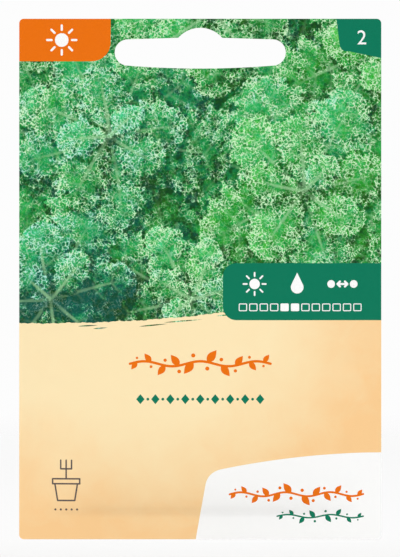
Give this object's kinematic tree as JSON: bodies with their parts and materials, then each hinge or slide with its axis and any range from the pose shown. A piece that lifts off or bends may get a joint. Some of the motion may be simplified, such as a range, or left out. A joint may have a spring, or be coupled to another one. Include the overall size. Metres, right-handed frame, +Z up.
{
  "type": "seed packet",
  "caption": "Flat paper seed packet with a sealed, softly pillowed pocket of loose seeds and a wide slot for hanging on a display peg.",
  "frame": {"origin": "crown of the hanging slot, where the peg carries the packet, midway between the two paper sheets", "axes": "+X across the width, to the right for someone facing the printed front; +Y out of the back; +Z up along the height"},
  "size_m": [0.08, 0.0028, 0.115],
  "materials": {
    "printed_front": "smooth coated paper, printed, satin",
    "printed_back": "smooth coated paper, printed, satin",
    "heat_seal": "thin translucent heat-seal coat",
    "seed_coat": "dark brown, dull, finely pitted seed coat"
  },
  "bodies": {
    "root": {"front_sheet": "printed_front", "back_sheet": "printed_back", "seal_layer": "heat_seal", "seed_01": "seed_coat", "seed_02": "seed_coat", "seed_03": "seed_coat", "seed_04": "seed_coat", "seed_05": "seed_coat", "seed_06": "seed_coat", "seed_07": "seed_coat", "seed_08": "seed_coat", "seed_09": "seed_coat", "seed_10": "seed_coat", "seed_11": "seed_coat", "seed_12": "seed_coat", "seed_13": "seed_coat", "seed_14": "seed_coat", "seed_15": "seed_coat", "seed_16": "seed_coat", "seed_17": "seed_coat", "seed_18": "seed_coat", "seed_19": "seed_coat", "seed_20": "seed_coat", "seed_21": "seed_coat", "seed_22": "seed_coat", "seed_23": "seed_coat", "seed_24": "seed_coat", "seed_25": "seed_coat", "seed_26": "seed_coat", "seed_27": "seed_coat", "seed_28": "seed_coat", "seed_29": "seed_coat", "seed_30": "seed_coat", "seed_31": "seed_coat", "seed_32": "seed_coat", "seed_33": "seed_coat", "seed_34": "seed_coat", "seed_35": "seed_coat", "seed_36": "seed_coat", "seed_37": "seed_coat", "seed_38": "seed_coat", "seed_39": "seed_coat", "seed_40": "seed_coat", "seed_41": "seed_coat", "seed_42": "seed_coat", "seed_43": "seed_coat", "seed_44": "seed_coat", "seed_45": "seed_coat", "seed_46": "seed_coat", "seed_47": "seed_coat", "seed_48": "seed_coat", "seed_49": "seed_coat", "seed_50": "seed_coat", "seed_51": "seed_coat", "seed_52": "seed_coat", "seed_53": "seed_coat", "seed_54": "seed_coat"}
  },
  "joints": []
}
